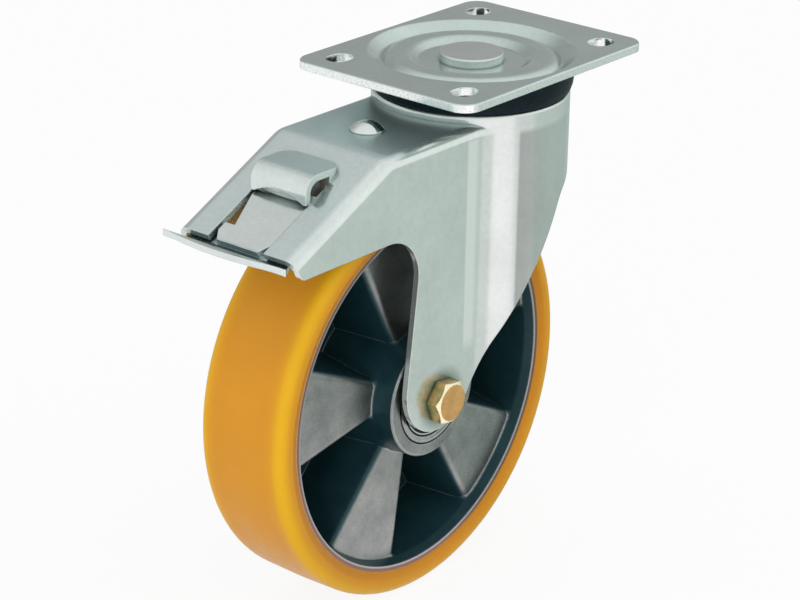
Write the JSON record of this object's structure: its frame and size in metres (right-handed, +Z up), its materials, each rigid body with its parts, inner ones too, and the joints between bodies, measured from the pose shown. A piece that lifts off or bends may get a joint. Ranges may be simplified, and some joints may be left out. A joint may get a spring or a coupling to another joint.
{
  "type": "swivel castor",
  "caption": "Heavy-duty swivel castor with a bolt-on top plate, pressed steel fork, orange tread on a dark cast rim and a foot-operated total brake.",
  "frame": {"origin": "centre of the mounting plate's top face, on the swivel axis", "axes": "+Z up through the mounting plate along the swivel axis; +X the direction of travel, so the wheel trails towards -X; the axle runs along Y"},
  "size_m": [0.2412, 0.103, 0.247],
  "materials": {
    "plate_zinc": "satin",
    "zinc": "satin",
    "steel": "satin",
    "seal_black": "matte",
    "gold_zinc": "satin",
    "rim_dark": "satin",
    "tread_orange": "gloss"
  },
  "bodies": {
    "plate": {"top_plate": "plate_zinc", "seal_ring": "seal_black", "kingpin": "plate_zinc", "kingpin_sleeve": "steel", "upper_balls": "steel", "lower_balls": "steel", "lower_race": "steel", "lock_ring": "zinc", "kingpin_nut": "zinc"},
    "fork": {"fork": "zinc", "hood_rivet": "zinc", "axle_bolt": "gold_zinc", "axle_nut": "gold_zinc", "axle_washer": "gold_zinc", "axle_tube": "steel", "side_spacer_left": "steel", "side_spacer_right": "steel", "bearing_inner_left": "steel", "bearing_inner_right": "steel"},
    "wheel": {"wheel_rim": "rim_dark", "tread": "tread_orange", "bearing_outer_left": "steel", "bearing_outer_right": "steel", "bearing_shield_left": "seal_black", "bearing_shield_right": "seal_black", "bearing_balls_left": "steel", "bearing_balls_right": "steel"},
    "pedal": {"pedal": "zinc"},
    "brake": {"brake_leaf": "zinc", "brake_shoe": "steel"}
  },
  "joints": [
    {"name": "swivel", "type": "hinge", "parent": "plate", "child": "fork", "pos_m": [0, 0, -0.02], "axis": [0, 0, 1], "continuous": true},
    {"name": "wheel_spin", "type": "hinge", "parent": "fork", "child": "wheel", "pos_m": [-0.0595, 0, -0.147], "axis": [0, 1, 0], "continuous": true},
    {"name": "pedal_press", "type": "hinge", "parent": "fork", "child": "pedal", "pos_m": [-0.1253, 0, -0.03204], "axis": [0, -1, 0], "range_deg": [0, 14]},
    {"name": "brake_rock", "type": "hinge", "parent": "fork", "child": "brake", "pos_m": [-0.0742, 0, -0.02595], "axis": [0, -1, 0], "range_deg": [0, 4.5]}
  ],
  "couplings": [
    {"joint": "brake_rock", "follows": "pedal_press", "ratio": 0.32143}
  ]
}
